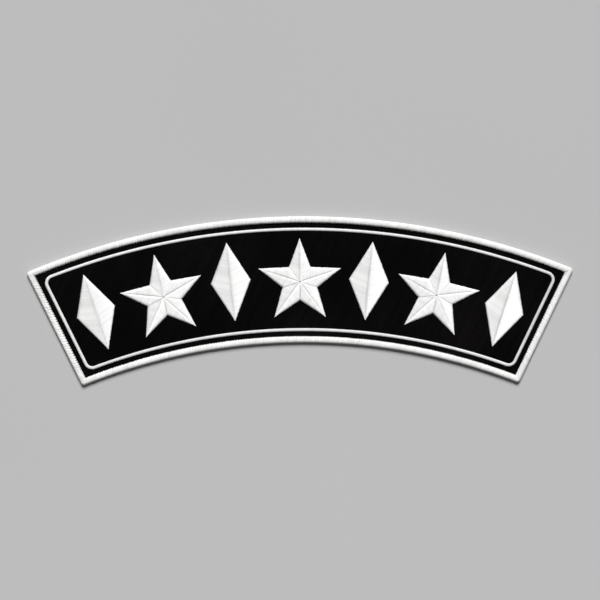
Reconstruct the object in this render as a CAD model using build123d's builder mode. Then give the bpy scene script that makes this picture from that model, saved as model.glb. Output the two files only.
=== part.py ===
from build123d import *

import math
import os

# An embroidered rocker patch: a curved band of twill cloth with an overlocked
# edge, a thin stitched line inside it and a row of raised satin-stitched motifs.
# It lies flat with its face up. Sizes are millimetres and angles are degrees.
# X runs along the band, Y across it towards the outer arc, Z up out of the face.
# The origin is on the surface that it lies on, under the middle of its outline.

# Outline of the finished patch
overall_width = 290.0  # from tip to tip of the outer arc, before the corners are rounded
outer_radius = 379.0
band_width = 67.0  # from the outer arc to the inner arc
end_slant = 26.0  # lean of each straight end from the Y axis
corner_radius = 1.5

# Ground cloth
cloth_thickness = 1.2
fit_gap = 0.05  # clearance between pieces that are stitched together

# Overlocked border, wrapped round the cloth's cut edge
border_width = 3.3
border_height = 2.4
border_wrap = 0.8  # yarn that stands outside the cloth's cut edge
border_under = 0.45  # yarn layer below the cloth's pressed edge
border_crown = 1.1  # rounding of the top outer edge
border_foot = 0.5  # rounding of the bottom outer edge
border_shoulder = 0.5  # rounding of the top inner edge

# Stitched line inside the border
line_inset = 6.15  # from the finished edge to the line's outer side
line_width = 1.5
line_corner = 4.5  # rounding of the line's outer side
line_height = 0.5
line_round = 0.3

# Row of motifs, lozenges and stars in turn, with a lozenge at each end
star_count = 3
row_top = 11.85  # from the outer arc to a motif's top, before its corners are rounded
row_foot = 13.65  # from the inner arc to a motif's foot
row_end = 13.4  # from a straight end to the side of the last lozenge
star_waist = 0.42  # radius between two arms, as a share of the radius at the tips
lozenge_width = 21.0
pad_height = 0.9
pad_round = 0.4  # rounding of a motif's top edge
tip_round = 0.5  # rounding of a motif's corners, seen from above
split_width = 0.7  # groove where two fields of stitches meet
split_depth = 0.3

# Worked out from the sizes above
half_width = overall_width / 2
inner_radius = outer_radius - band_width
motif_height = band_width - row_top - row_foot
row_radius = outer_radius - row_top - motif_height / 2
face_height = cloth_thickness + fit_gap
star_arms = 5
star_turn = 360 / star_arms
star_radius = motif_height / (1 + math.cos(math.radians(star_turn / 2)))
star_drop = star_radius - motif_height / 2


def end_corner(radius, inset):
    """The point where the right end, moved in by inset, meets a circle about the arcs' centre."""
    lean = math.radians(end_slant)
    tip = Vector(half_width, math.sqrt(outer_radius**2 - half_width**2))
    inward = Vector(-math.cos(lean), math.sin(lean))
    down = Vector(-math.sin(lean), -math.cos(lean))
    start = tip + inward * inset
    along = start.dot(down)
    run = -along - math.sqrt(along**2 - start.dot(start) + radius**2)
    return start + down * run


def rocker_profile(inset, corner=None):
    """The outline of the patch drawn inset inside its finished edge, about the arcs' centre.

    Its corners keep the finished corners' centres unless another rounding is given.
    """
    top_radius = outer_radius - inset
    low_radius = inner_radius + inset
    top = end_corner(top_radius, inset)
    low = end_corner(low_radius, inset)
    rounding = max(corner_radius - inset, 0) if corner is None else corner
    with BuildSketch() as profile:
        with BuildLine():
            ThreePointArc((-top.X, top.Y), (0, top_radius), (top.X, top.Y))
            Line((top.X, top.Y), (low.X, low.Y))
            ThreePointArc((low.X, low.Y), (0, low_radius), (-low.X, low.Y))
            Line((-low.X, low.Y), (-top.X, top.Y))
        make_face()
        if rounding > 0:
            fillet(profile.vertices(), rounding)
    return profile.sketch


finished = rocker_profile(0)
finished_box = finished.bounding_box()
centre_y = -(finished_box.min.Y + finished_box.max.Y) / 2
row_last = end_corner(row_radius, row_end + lozenge_width / 2)
row_step = math.atan2(row_last.X, row_last.Y) / star_count


def band_plane(height):
    """A level plane with its origin on the axis of the arcs."""
    return Plane(origin=(0, centre_y, height))


def motif_plane(place):
    """The level plane of a motif, place steps clockwise from the middle of the row."""
    turn = place * row_step
    outward = Vector(math.sin(turn), math.cos(turn))
    middle = Vector(0, centre_y, face_height) + outward * row_radius
    return Plane(origin=middle, x_dir=(outward.Y, -outward.X, 0), z_dir=(0, 0, 1))


# Ground cloth, with its edge pressed thin where the border wraps it
with BuildPart() as ground:
    with BuildSketch(band_plane(0)):
        add(rocker_profile(border_width + fit_gap))
    extrude(amount=cloth_thickness)
    with BuildSketch(band_plane(border_under + fit_gap)):
        add(rocker_profile(border_wrap + fit_gap))
    extrude(amount=cloth_thickness - border_under - fit_gap)
ground.part.label = "ground_cloth"

# Overlocked border, with a groove that holds the cloth's edge
with BuildPart() as border:
    with BuildSketch(band_plane(0)):
        add(finished)
    extrude(amount=border_height)
    fillet(border.faces().sort_by(Axis.Z)[-1].edges(), border_crown)
    fillet(border.faces().sort_by(Axis.Z)[0].edges(), border_foot)
    with BuildSketch(band_plane(0)):
        add(rocker_profile(border_width))
    extrude(amount=border_height, mode=Mode.SUBTRACT)
    fillet(border.faces().sort_by(Axis.Z)[-1].inner_wires()[0].edges(), border_shoulder)
    with BuildSketch(band_plane(border_under)):
        add(rocker_profile(border_wrap))
    extrude(amount=face_height - border_under, mode=Mode.SUBTRACT)
border.part.label = "overlocked_border"

# Stitched line, a closed narrow ring with rounded corners
with BuildPart() as line:
    with BuildSketch(band_plane(face_height)):
        add(rocker_profile(line_inset, line_corner))
        add(
            rocker_profile(line_inset + line_width, line_corner - line_width),
            mode=Mode.SUBTRACT,
        )
    extrude(amount=line_height)
    fillet(line.faces().sort_by(Axis.Z)[-1].edges(), line_round)
line.part.label = "stitched_line"


def split_profile(plane, start, end):
    """The V section of a groove in a motif's top, standing at start and facing end."""
    top = plane.from_local_coords(start) + plane.z_dir * pad_height
    heading = plane.from_local_coords(end) - plane.from_local_coords(start)
    across = plane.z_dir.cross(heading)
    with BuildSketch(Plane(origin=top, x_dir=across, z_dir=heading)) as profile:
        with BuildLine():
            Polyline(
                (-split_width, split_depth),
                (0, -split_depth),
                (split_width, split_depth),
                close=True,
            )
        make_face()
    return profile.sketch


def motif_pad(name, plane, corners, splits):
    """One raised motif: its outline's corners and the splits in its top, on its own plane."""
    with BuildPart() as pad:
        with BuildSketch(plane) as outline:
            with BuildLine():
                Polyline(*corners, close=True)
            make_face()
            fillet(outline.vertices(), tip_round)
        extrude(amount=pad_height)
        fillet(pad.faces().sort_by(Axis.Z)[-1].edges(), pad_round)
        for start, end in splits:
            length = (end - start).length
            extrude(split_profile(plane, start, end), amount=length, mode=Mode.SUBTRACT)
    pad.part.label = name
    return pad


def star_pad(name, plane):
    """A five-armed star with a split along every arm and between every two arms."""
    middle = Vector(0, -star_drop)
    corners = []
    for spoke in range(2 * star_arms):
        turn = math.radians(spoke * star_turn / 2)
        reach = star_radius if spoke % 2 == 0 else star_radius * star_waist
        corners.append(middle + Vector(math.sin(turn), math.cos(turn)) * reach)
    return motif_pad(name, plane, corners, [(middle, corner) for corner in corners])


def lozenge_pad(name, plane):
    """An upright lozenge with one split from its top to its foot."""
    top, side = Vector(0, motif_height / 2), Vector(lozenge_width / 2, 0)
    return motif_pad(name, plane, [top, side, -top, -side], [(-top, top)])


# Motifs along the row, from left to right
motifs = []
for number in range(1, star_count + 1):
    place = 2 * number - star_count - 1
    motifs.append(star_pad(f"star_{number}", motif_plane(place)))
for number in range(1, star_count + 2):
    place = 2 * number - star_count - 2
    motifs.append(lozenge_pad(f"lozenge_{number}", motif_plane(place)))

os.makedirs("parts", exist_ok=True)
for piece in [ground, border, line, *motifs]:
    export_step(piece.part, f"parts/{piece.part.label}.step")
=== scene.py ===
"""Dresses an embroidered rocker patch in its twill, yarn and thread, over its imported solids.

The patch lies face up. Lengths are metres, X runs along its band, Y towards its outer arc and
Z up out of its face. Every stitch on it is a length of thread of its own.
"""

import logging
import math
from collections.abc import Callable, Iterator
from contextlib import contextmanager
from dataclasses import dataclass, replace
from enum import Enum

import bmesh
import bpy
import numpy as np
from bpy.types import Material, Node, NodeSocket, NodeTree, Object
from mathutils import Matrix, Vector
from numpy import ndarray as Array

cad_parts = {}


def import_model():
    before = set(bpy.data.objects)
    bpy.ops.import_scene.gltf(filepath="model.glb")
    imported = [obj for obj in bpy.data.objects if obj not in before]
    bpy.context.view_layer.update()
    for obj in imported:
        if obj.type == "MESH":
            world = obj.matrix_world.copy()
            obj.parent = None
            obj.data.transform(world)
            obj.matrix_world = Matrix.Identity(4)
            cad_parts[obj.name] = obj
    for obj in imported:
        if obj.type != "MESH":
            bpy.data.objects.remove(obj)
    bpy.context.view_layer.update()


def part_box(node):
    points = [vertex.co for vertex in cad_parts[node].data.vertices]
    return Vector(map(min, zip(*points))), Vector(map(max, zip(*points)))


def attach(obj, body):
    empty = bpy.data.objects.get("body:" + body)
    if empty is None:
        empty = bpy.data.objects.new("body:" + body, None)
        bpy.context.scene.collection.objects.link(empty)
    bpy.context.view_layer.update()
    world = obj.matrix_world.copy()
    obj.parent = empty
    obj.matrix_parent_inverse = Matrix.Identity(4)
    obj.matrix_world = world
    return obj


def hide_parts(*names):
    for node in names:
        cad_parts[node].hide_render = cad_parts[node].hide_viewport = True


MM = 0.001
FULL_TURN = 2 * math.pi
CLOTH_CREASE = math.radians(40)
THREAD_CREASE = math.radians(70)
BODY = "root"

Colour = tuple[float, float, float, float]

log = logging.getLogger("rocker_patch")


# Workbench: what every piece is made with


def deselect() -> None:
    """Clear the selection, because an operator acts on all that is selected."""
    bpy.ops.object.select_all(action="DESELECT")


def take(*pieces: Object) -> None:
    """Select these pieces alone.

    Args:
        pieces: The pieces, of which the first becomes the active one.
    """
    deselect()
    for piece in pieces:
        piece.select_set(True)
    bpy.context.view_layer.objects.active = pieces[0]


def named(name: str) -> Object:
    """Name the primitive that was just added, and put its place into its mesh.

    Args:
        name: The piece's name, which its mesh gets too.

    Returns:
        The new piece, at the origin and unturned.
    """
    piece = bpy.context.object
    piece.name = name
    piece.data.name = name
    take(piece)
    bpy.ops.object.transform_apply(location=True, rotation=True, scale=True)
    return piece


@contextmanager
def editing(piece: Object, mode: str = "VERT") -> Iterator[bmesh.types.BMesh]:
    """Hold a piece in edit mode, with nothing on it selected to begin with.

    Args:
        piece: The piece to edit.
        mode: What is selected: VERT, EDGE or FACE.

    Yields:
        The piece's mesh as it is edited.
    """
    take(piece)
    bpy.ops.object.mode_set(mode="EDIT")
    bpy.ops.mesh.select_mode(type=mode)
    bpy.ops.mesh.select_all(action="DESELECT")
    yield bmesh.from_edit_mesh(piece.data)
    bpy.ops.object.mode_set(mode="OBJECT")


def choose(piece: Object, parts: bmesh.types.BMElemSeq, test: Callable[..., bool]) -> None:
    """Select some parts of a piece in edit mode.

    Args:
        piece: The piece.
        parts: Its vertices, edges or faces.
        test: Tells whether one of them is selected.
    """
    for part in parts:
        part.select_set(bool(test(part)))
    bmesh.update_edit_mesh(piece.data)


def read_points(piece: Object) -> Array:
    """Read where a piece's vertices are.

    Args:
        piece: The piece.

    Returns:
        Their places, one row each.
    """
    points = np.empty(3 * len(piece.data.vertices))
    piece.data.vertices.foreach_get("co", points)
    return points.reshape(-1, 3)


def write_points(piece: Object, points: Array) -> None:
    """Move the piece's vertices to these places, one row each."""
    piece.data.vertices.foreach_set("co", np.ascontiguousarray(points, dtype=float).ravel())
    piece.data.update()


def write_shade(piece: Object, shade: Array | float) -> None:
    """Store how bright the thread at each vertex is, for the finish to read.

    Args:
        piece: The piece.
        shade: A number from 0 to 1 for each vertex, or one for all of them.
    """
    shades = np.broadcast_to(shade, len(piece.data.vertices))
    layer = piece.data.attributes.new(ThreadFinish.SHADE, "FLOAT", "POINT")
    layer.data.foreach_set("value", np.ascontiguousarray(shades, dtype=float))


def face_outwards(piece: Object, crease: float) -> None:
    """Point every closed shell's faces outwards, and smooth all but the sharp edges.

    Args:
        piece: The piece.
        crease: The angle past which an edge stays sharp.
    """
    with editing(piece, "FACE"):
        bpy.ops.mesh.select_all(action="SELECT")
        bpy.ops.mesh.normals_make_consistent(inside=False)
    take(piece)
    bpy.ops.object.shade_smooth_by_angle(angle=crease)


def settle(piece: Object, finish: Material, node: str) -> None:
    """Dress a finished piece, tie it to the patch and report it.

    Args:
        piece: The finished piece.
        finish: Its material.
        node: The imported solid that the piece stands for.
    """
    piece.data.materials.clear()
    piece.data.materials.append(finish)
    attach(piece, BODY)
    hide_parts(node)
    log.info("%s: %d faces", piece.name, len(piece.data.polygons))


def unit(vectors: Array) -> Array:
    """The same directions, each of length one."""
    return vectors / np.linalg.norm(vectors, axis=-1, keepdims=True)


def turned(points: Array, angle: float) -> Array:
    """Points in the plane, turned anticlockwise about the origin."""
    cosine, sine = math.cos(angle), math.sin(angle)
    return points @ np.array([[cosine, sine], [-sine, cosine]])


# The outline, which every piece follows


class Side(Enum):
    """The four sides of the patch, clockwise from its upper left corner."""

    OUTER_ARC = "outer arc"
    RIGHT_END = "right end"
    INNER_ARC = "inner arc"
    LEFT_END = "left end"


@dataclass(frozen=True)
class Track:
    """A closed line round the patch, on which stitches are laid.

    Attributes:
        points: Close points on the line, clockwise, with the first one again at the end.
        inward: The direction into the patch at each point.
    """

    points: Array
    inward: Array

    @property
    def marks(self) -> Array:
        """How far along the line each of its points lies."""
        steps = np.linalg.norm(np.diff(self.points, axis=0), axis=1)
        return np.concatenate([[0], np.cumsum(steps)])

    @property
    def length(self) -> float:
        """The length of the whole line."""
        return float(self.marks[-1])

    def place(self, along: Array, offset: Array) -> Array:
        """Find where something beside the line lies.

        Args:
            along: How far along the line it is.
            offset: How far into the patch it is from the line.

        Returns:
            Its X and Y in the last axis.
        """
        marks = self.marks
        columns = (*self.points.T, *self.inward.T)
        x, y, across, up = (np.interp(along % marks[-1], marks, column) for column in columns)
        return np.stack([x + across * offset, y + up * offset], axis=-1)


@dataclass(frozen=True)
class Rocker:
    """The patch's outline: two arcs about one centre and two leaning straight ends.

    A place on it is how far it is along the finished edge, clockwise from the upper left
    corner, and how far it is inset from that edge.

    Attributes:
        centre_y: Where the arcs' centre is on Y.
        half_width: From the middle to the sharp tip of the outer arc.
        outer_radius: Radius of the outer arc.
        inner_radius: Radius of the inner arc.
        end_slant: Lean of each end from the Y axis.
        corner_round: Rounding of the finished corners.
        fan_reach: How far from a corner the stitches still fan out round it.
    """

    centre_y: float
    half_width: float = 145 * MM
    outer_radius: float = 379 * MM
    inner_radius: float = 312 * MM
    end_slant: float = math.radians(26)
    corner_round: float = 1.5 * MM
    fan_reach: float = 5 * MM

    @property
    def tip(self) -> Array:
        """The sharp upper right corner, about the arcs' centre."""
        return np.array([self.half_width, math.sqrt(self.outer_radius**2 - self.half_width**2)])

    @property
    def down(self) -> Array:
        """The direction down the right end."""
        return np.array([-math.sin(self.end_slant), -math.cos(self.end_slant)])

    @property
    def inward(self) -> Array:
        """The direction into the patch from the right end."""
        return np.array([-math.cos(self.end_slant), math.sin(self.end_slant)])

    def crossing(self, radius: Array, inset: Array) -> Array:
        """Find where the right end, moved in, meets a circle about the arcs' centre.

        Args:
            radius: The circle's radius.
            inset: How far the end is moved in.

        Returns:
            Its X and Y in the last axis, about the arcs' centre.
        """
        start = self.tip + np.multiply.outer(np.asarray(inset), self.inward)
        along = start @ self.down
        run = -along - np.sqrt(along**2 - (start**2).sum(axis=-1) + radius**2)
        return start + run[..., None] * self.down

    def span(self, side: Side) -> float:
        """Measure a side on the finished edge, between its sharp corners.

        Args:
            side: The side.

        Returns:
            Its length.
        """
        foot = self.crossing(self.inner_radius, 0.0)
        if side is Side.OUTER_ARC:
            return 2 * self.outer_radius * math.atan2(*self.tip)
        if side is Side.INNER_ARC:
            return 2 * self.inner_radius * math.atan2(*foot)
        return float(np.linalg.norm(foot - self.tip))

    @property
    def length(self) -> float:
        """The length of the finished edge, between its sharp corners."""
        return sum(self.span(side) for side in Side)

    def losses(self, side: Side, inset: Array) -> tuple[Array, Array]:
        """Measure what the mitres at its two ends take away from a side.

        Args:
            side: The side.
            inset: How far inside the finished edge it is measured.

        Returns:
            What it loses at its start and at its end.
        """
        top = self.crossing(self.outer_radius - inset, inset)
        foot = self.crossing(self.inner_radius + inset, inset)
        if side in (Side.OUTER_ARC, Side.INNER_ARC):
            outer = side is Side.OUTER_ARC
            edge, corner = (self.outer_radius, top) if outer else (self.inner_radius, foot)
            lost = self.span(side) / 2 - edge * np.arctan2(corner[..., 0], corner[..., 1])
            return lost, lost
        at_top = (top - self.tip) @ self.down
        at_foot = self.span(side) - (foot - self.tip) @ self.down
        return (at_top, at_foot) if side is Side.RIGHT_END else (at_foot, at_top)

    def on_side(self, side: Side, run: Array, inset: Array) -> Array:
        """Find a point on a side.

        Args:
            side: The side.
            run: How far along the side it is, clockwise.
            inset: How far inside the finished edge it is.

        Returns:
            Its X and Y in the last axis, about the arcs' centre.
        """
        run, inset = np.broadcast_arrays(np.asarray(run, float), np.asarray(inset, float))
        if side in (Side.OUTER_ARC, Side.INNER_ARC):
            outer = side is Side.OUTER_ARC
            edge = self.outer_radius if outer else self.inner_radius
            angle = (run - self.span(side) / 2) / edge * (1 if outer else -1)
            radius = edge - inset if outer else edge + inset
            return radius[..., None] * np.stack([np.sin(angle), np.cos(angle)], axis=-1)
        if side is Side.LEFT_END:
            run = self.span(side) - run
        spot = self.tip + run[..., None] * self.down + inset[..., None] * self.inward
        return spot * ((-1, 1) if side is Side.LEFT_END else (1, 1))

    def rounded(self, side: Side, run: Array, inset: Array) -> Array:
        """Find points on a side, and draw those near its corners in to the rounding.

        Args:
            side: The side.
            run: How far along the side each is, clockwise.
            inset: How far inside the finished edge each is.

        Returns:
            Their X and Y in the last axis, about the arcs' centre.
        """
        spots = self.on_side(side, run, inset)
        first, last = self.losses(side, self.corner_round)
        stop = self.span(side) - last
        for centre_run, beyond in ((first, run < first), (stop, run > stop)):
            centre = self.on_side(side, centre_run, self.corner_round)
            near = beyond & (inset < self.corner_round)
            reach = (self.corner_round - inset[near])[:, None]
            spots[near] = centre + unit(spots[near] - centre) * reach
        return spots

    def place(self, along: Array, inset: Array) -> Array:
        """Find where something on the edge lies, with stitches fanned out round the corners.

        Args:
            along: How far along the finished edge it is.
            inset: How far inside that edge it is.

        Returns:
            Its X and Y in the last axis.
        """
        along = along % self.length
        spots = np.empty(along.shape + (2,))
        start = 0.0
        for side in Side:
            span = self.span(side)
            here = (along >= start) & (along < start + span)
            run, depth = along[here] - start, inset[here]
            first, last = self.losses(side, depth)
            run = run + first * np.exp(-run / self.fan_reach)
            run = run - last * np.exp((run - span) / self.fan_reach)
            spots[here] = self.rounded(side, run, depth)
            start += span
        return spots + (0, self.centre_y)

    def track(self, inset: float, corner: float, step: float = 0.25 * MM) -> Track:
        """Draw a closed line at an inset, with its own rounding of the corners.

        Args:
            inset: How far inside the finished edge it runs.
            corner: Its radius at the corners.
            step: About how far apart its points are.

        Returns:
            The line.
        """
        stretches, turns = [], []
        for side in Side:
            first, last = self.losses(side, inset + corner)
            stop = self.span(side) - last
            run = np.linspace(first, stop, round((stop - first) / step))
            stretches.append(self.on_side(side, run, inset))
            turns.append(self.on_side(side, stop, inset + corner))
        points = []
        for number, centre in enumerate(turns):
            after = stretches[(number + 1) % len(stretches)]
            legs = stretches[number][-1] - centre, after[0] - centre
            start, end = (math.atan2(leg[1], leg[0]) for leg in legs)
            sweep = (start - end) % FULL_TURN
            angles = start - np.linspace(0, sweep, max(round(sweep * corner / step), 3))[1:-1]
            bend = centre + corner * np.stack([np.cos(angles), np.sin(angles)], axis=-1)
            points += [stretches[number], bend]
        line = np.concatenate(points) + (0, self.centre_y)
        heading = unit(np.roll(line, -1, axis=0) - np.roll(line, 1, axis=0))
        inward = np.stack([heading[:, 1], -heading[:, 0]], axis=-1)
        return Track(np.concatenate([line, line[:1]]), np.concatenate([inward, inward[:1]]))

    def inset_of(self, points: Array) -> Array:
        """Measure how far inside the finished edge points lie.

        Args:
            points: Their places, in rows of X and Y.

        Returns:
            The inset of each.
        """
        spots = points - (0, self.centre_y)
        reach = np.linalg.norm(spots, axis=-1)
        right = np.stack([np.abs(spots[..., 0]), spots[..., 1]], axis=-1)
        from_end = (right - self.tip) @ self.inward
        return np.minimum.reduce([self.outer_radius - reach, reach - self.inner_radius, from_end])


# Threads and yarns: one length is modelled, and its copies are laid one by one


@dataclass(frozen=True)
class Thread:
    """A length of thread with a flat round section.

    Attributes:
        sides: How many sides its section has.
        segments: How many stretches it bends in.
    """

    sides: int
    segments: int

    @property
    def shares(self) -> Array:
        """How far along a stitch each ring of it is, closer together towards its ends."""
        return 0.5 - 0.5 * np.cos(np.linspace(0, math.pi, self.segments + 1))[None, :]

    def copies(self, name: str, count: int) -> "Bundle":
        """Model one length, and copy it.

        Args:
            name: The piece's name.
            count: How many lengths it has.

        Returns:
            The copies, still straight.
        """
        deselect()
        bpy.ops.mesh.primitive_cylinder_add(
            vertices=self.sides,
            radius=0.5,
            depth=1,
            location=(0.5, 0, 0),
            rotation=(0, math.pi / 2, 0),
        )
        piece = named(name)
        with editing(piece, "EDGE") as shape:
            choose(piece, shape.edges, lambda e: abs(e.verts[0].co.x - e.verts[1].co.x) > 0.5)
            bpy.ops.mesh.subdivide(number_cuts=self.segments - 1)
        array = piece.modifiers.new("copies", "ARRAY")
        array.count = count
        array.use_relative_offset = False
        array.use_constant_offset = True
        array.constant_offset_displace = (0, 0, 0)
        take(piece)
        bpy.ops.object.modifier_apply(modifier=array.name)
        return Bundle(piece, count, self.segments)


@dataclass
class Bundle:
    """Copies of one length of thread in one piece.

    Attributes:
        piece: The piece that holds them all.
        count: How many there are.
        segments: How many stretches each bends in.
    """

    # How much of a copy's brightness is its own, and how much it shares with those beside it
    GRAIN = 0.8
    DRIFT = 0.6

    piece: Object
    count: int
    segments: int

    def lay(self, lines: Array, sideways: Array, widths: Array, depth: Array | float) -> None:
        """Bend each copy along its own line.

        Args:
            lines: The middle of each copy at each of its rings, as copies by rings by 3.
            sideways: The level direction across the copies, or across each of them.
            widths: How wide each copy is at each ring.
            depth: How thick each copy is at each ring, or all of them are.
        """
        straight = read_points(self.piece).reshape(self.count, -1, 3)[0]
        ring = np.rint(straight[:, 0] * self.segments).astype(int)
        sideways = np.broadcast_to(sideways, (self.count, 3))
        heading = unit(np.gradient(lines, axis=1))
        up = unit(np.cross(heading, sideways[:, None, :]))
        depths = np.broadcast_to(depth, widths.shape)
        across = (straight[:, 1] * widths[:, ring])[..., None] * sideways[:, None, :]
        above = (straight[:, 2] * depths[:, ring])[..., None] * up[:, ring]
        write_points(self.piece, (lines[:, ring] + across + above).reshape(-1, 3))
        steps = np.linalg.norm(np.diff(lines, axis=1), axis=2)
        runs = np.concatenate([np.zeros((self.count, 1)), np.cumsum(steps, axis=1)], axis=1)
        self.measure(runs[:, ring].ravel())

    def measure(self, runs: Array) -> None:
        """Make the UV map's second number the millimetres along each copy.

        Args:
            runs: How far along its copy each vertex is.
        """
        mesh = self.piece.data
        corners = np.empty(len(mesh.loops), dtype=np.int32)
        mesh.loops.foreach_get("vertex_index", corners)
        layer = mesh.uv_layers[ThreadFinish.UV_MAP].data
        places = np.empty(2 * len(corners))
        layer.foreach_get("uv", places)
        places = places.reshape(-1, 2)
        places[:, 1] = runs[corners] / MM
        layer.foreach_set("uv", places.ravel())

    def shade(self, rng: np.random.Generator, spread: float, patch: int) -> None:
        """Give each copy its own brightness, from 0 to 1 about a middle of 0.5.

        Args:
            rng: The random numbers to draw from.
            spread: How near the middle about two copies in three are.
            patch: About how many copies a drift runs over.
        """
        drift = np.convolve(rng.normal(size=self.count + patch), np.ones(patch), "valid")
        drift = drift[: self.count] / math.sqrt(patch)
        mixed = self.GRAIN * rng.normal(size=self.count) + self.DRIFT * drift
        shades = np.clip(0.5 + spread * mixed, 0, 1)
        write_shade(self.piece, np.repeat(shades, len(self.piece.data.vertices) // self.count))

    def cover(self, core: Object) -> Object:
        """Join the copies to the core that they cover.

        Args:
            core: The core, which gets a dark painted shade, seen in the gaps between the threads.

        Returns:
            The whole piece, with every shell's faces outwards.
        """
        # Painted shade on the core, which shows only in the gaps between the threads
        write_shade(core, ThreadFinish.CORE_PAINTED_SHADE)
        take(self.piece, core)
        bpy.ops.object.join()
        face_outwards(self.piece, THREAD_CREASE)
        return self.piece

    def wind(self, path: Track | Rocker) -> None:
        """Carry copies that lie along a straight edge over to a closed path.

        Args:
            path: The closed path.
        """
        points = read_points(self.piece)
        points[:, :2] = path.place(points[:, 0], points[:, 1])
        write_points(self.piece, points)


def ring_core(name: str, path: Track | Rocker, section: Array, step: float) -> Object:
    """Model a closed ring of one section, for a row of stitches to lie over.

    Args:
        name: The piece's name.
        path: The closed path that it follows.
        section: The inset and height of each corner of its section.
        step: About how far apart its sections are.

    Returns:
        The ring.
    """
    deselect()
    bpy.ops.mesh.primitive_torus_add(
        major_segments=round(path.length / step),
        minor_segments=len(section),
        major_radius=1,
        minor_radius=0.25,
    )
    piece = named(name)
    points = read_points(piece)
    reach = np.hypot(points[:, 0], points[:, 1])
    along = np.arctan2(points[:, 1], points[:, 0]) % FULL_TURN / FULL_TURN * path.length
    around = np.arctan2(points[:, 2], reach - 1) % FULL_TURN / FULL_TURN
    corner = section[np.rint(around * len(section)).astype(int) % len(section)]
    points[:, :2] = path.place(along, corner[:, 0])
    points[:, 2] = corner[:, 1]
    write_points(piece, points)
    return piece


def oval(middle: Array, half: Array, corners: int) -> Array:
    """Draw a squarish oval section.

    Args:
        middle: The inset and height of its middle.
        half: Half its width and half its height.
        corners: How many corners it has.

    Returns:
        The inset and height of each corner.
    """
    squareness = 0.7
    angles = np.arange(corners) / corners * FULL_TURN
    waves = np.stack([np.cos(angles), np.sin(angles)], axis=-1)
    return middle + np.sign(waves) * np.abs(waves) ** squareness * half


# Finishes


@dataclass(frozen=True)
class Graph:
    """Adds nodes to one node tree and joins them.

    Attributes:
        tree: The node tree.
    """

    tree: NodeTree

    def node(self, kind: str, **settings: object) -> Node:
        """Add a node.

        Args:
            kind: Its kind.
            settings: What is set on it.

        Returns:
            The node.
        """
        node = self.tree.nodes.new(kind)
        for name, value in settings.items():
            setattr(node, name, value)
        return node

    def feed(self, socket: NodeSocket, value: object) -> None:
        """Link a socket to another, or give it a value.

        Args:
            socket: The socket.
            value: The socket or the value that it gets.
        """
        if isinstance(value, NodeSocket):
            self.tree.links.new(value, socket)
        else:
            socket.default_value = value

    def fill(self, node: Node, values: dict[str, object]) -> Node:
        """Feed a node's inputs.

        Args:
            node: The node.
            values: What each input gets, by its name.

        Returns:
            The same node.
        """
        for name, value in values.items():
            self.feed(node.inputs[name], value)
        return node

    def math(self, operation: str, *values: object) -> NodeSocket:
        """Work a number out.

        Args:
            operation: The Math node's operation.
            values: What it works on.

        Returns:
            The result.
        """
        node = self.node("ShaderNodeMath", operation=operation)
        for socket, value in zip(node.inputs, values):
            self.feed(socket, value)
        return node.outputs[0]

    def dot(self, vector: NodeSocket, direction: tuple[float, float, float]) -> NodeSocket:
        """Measure how far a vector reaches in a direction.

        Args:
            vector: The vector.
            direction: The direction, with the length that counts as one.

        Returns:
            The measure.
        """
        node = self.node("ShaderNodeVectorMath", operation="DOT_PRODUCT")
        self.feed(node.inputs[0], vector)
        self.feed(node.inputs[1], direction)
        return node.outputs["Value"]

    def vector(self, x: object, y: object) -> NodeSocket:
        """A vector from its first two numbers."""
        return self.fill(self.node("ShaderNodeCombineXYZ"), {"X": x, "Y": y}).outputs[0]

    def noise(self, vector: NodeSocket, scale: object, detail: float = 2) -> NodeSocket:
        """Make a noise.

        Args:
            vector: Where it is read.
            scale: About how often it changes in one unit of the vector.
            detail: How many finer noises are on it.

        Returns:
            A number about 0.5.
        """
        node = self.node("ShaderNodeTexNoise")
        self.fill(node, {"Vector": vector, "Scale": scale, "Detail": detail})
        return node.outputs["Fac"]

    def mix(self, share: NodeSocket, low: Colour, high: Colour) -> NodeSocket:
        """Mix two colours.

        Args:
            share: How much of the second one there is.
            low: The first colour.
            high: The second colour.

        Returns:
            The colour between them.
        """
        node = self.node("ShaderNodeMix", data_type="RGBA")
        for number, value in ((0, share), (6, low), (7, high)):
            self.feed(node.inputs[number], value)
        return node.outputs[2]

    def bump(self, height: NodeSocket, distance: float, strength: float) -> NodeSocket:
        """Tilt the surface by a fine relief.

        Args:
            height: The relief's height.
            distance: How far a height of one stands out.
            strength: How much of it is felt.

        Returns:
            The normal.
        """
        node = self.node("ShaderNodeBump")
        self.fill(node, {"Distance": distance, "Strength": strength, "Height": height})
        return node.outputs[0]


def new_group(name: str, inputs: dict[str, str]) -> tuple[Graph, Node, Node]:
    """Start a shared node group, which puts out a height and a tone.

    Args:
        name: The group's name.
        inputs: The kind of each input, by its name: Float or Vector.

    Returns:
        The group's graph, its input node and its output node.
    """
    tree = bpy.data.node_groups.new(name, "ShaderNodeTree")
    for label, kind in inputs.items():
        tree.interface.new_socket(name=label, in_out="INPUT", socket_type=f"NodeSocket{kind}")
    for label in ("Height", "Tone"):
        tree.interface.new_socket(name=label, in_out="OUTPUT", socket_type="NodeSocketFloat")
    graph = Graph(tree)
    return graph, graph.node("NodeGroupInput"), graph.node("NodeGroupOutput")


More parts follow.
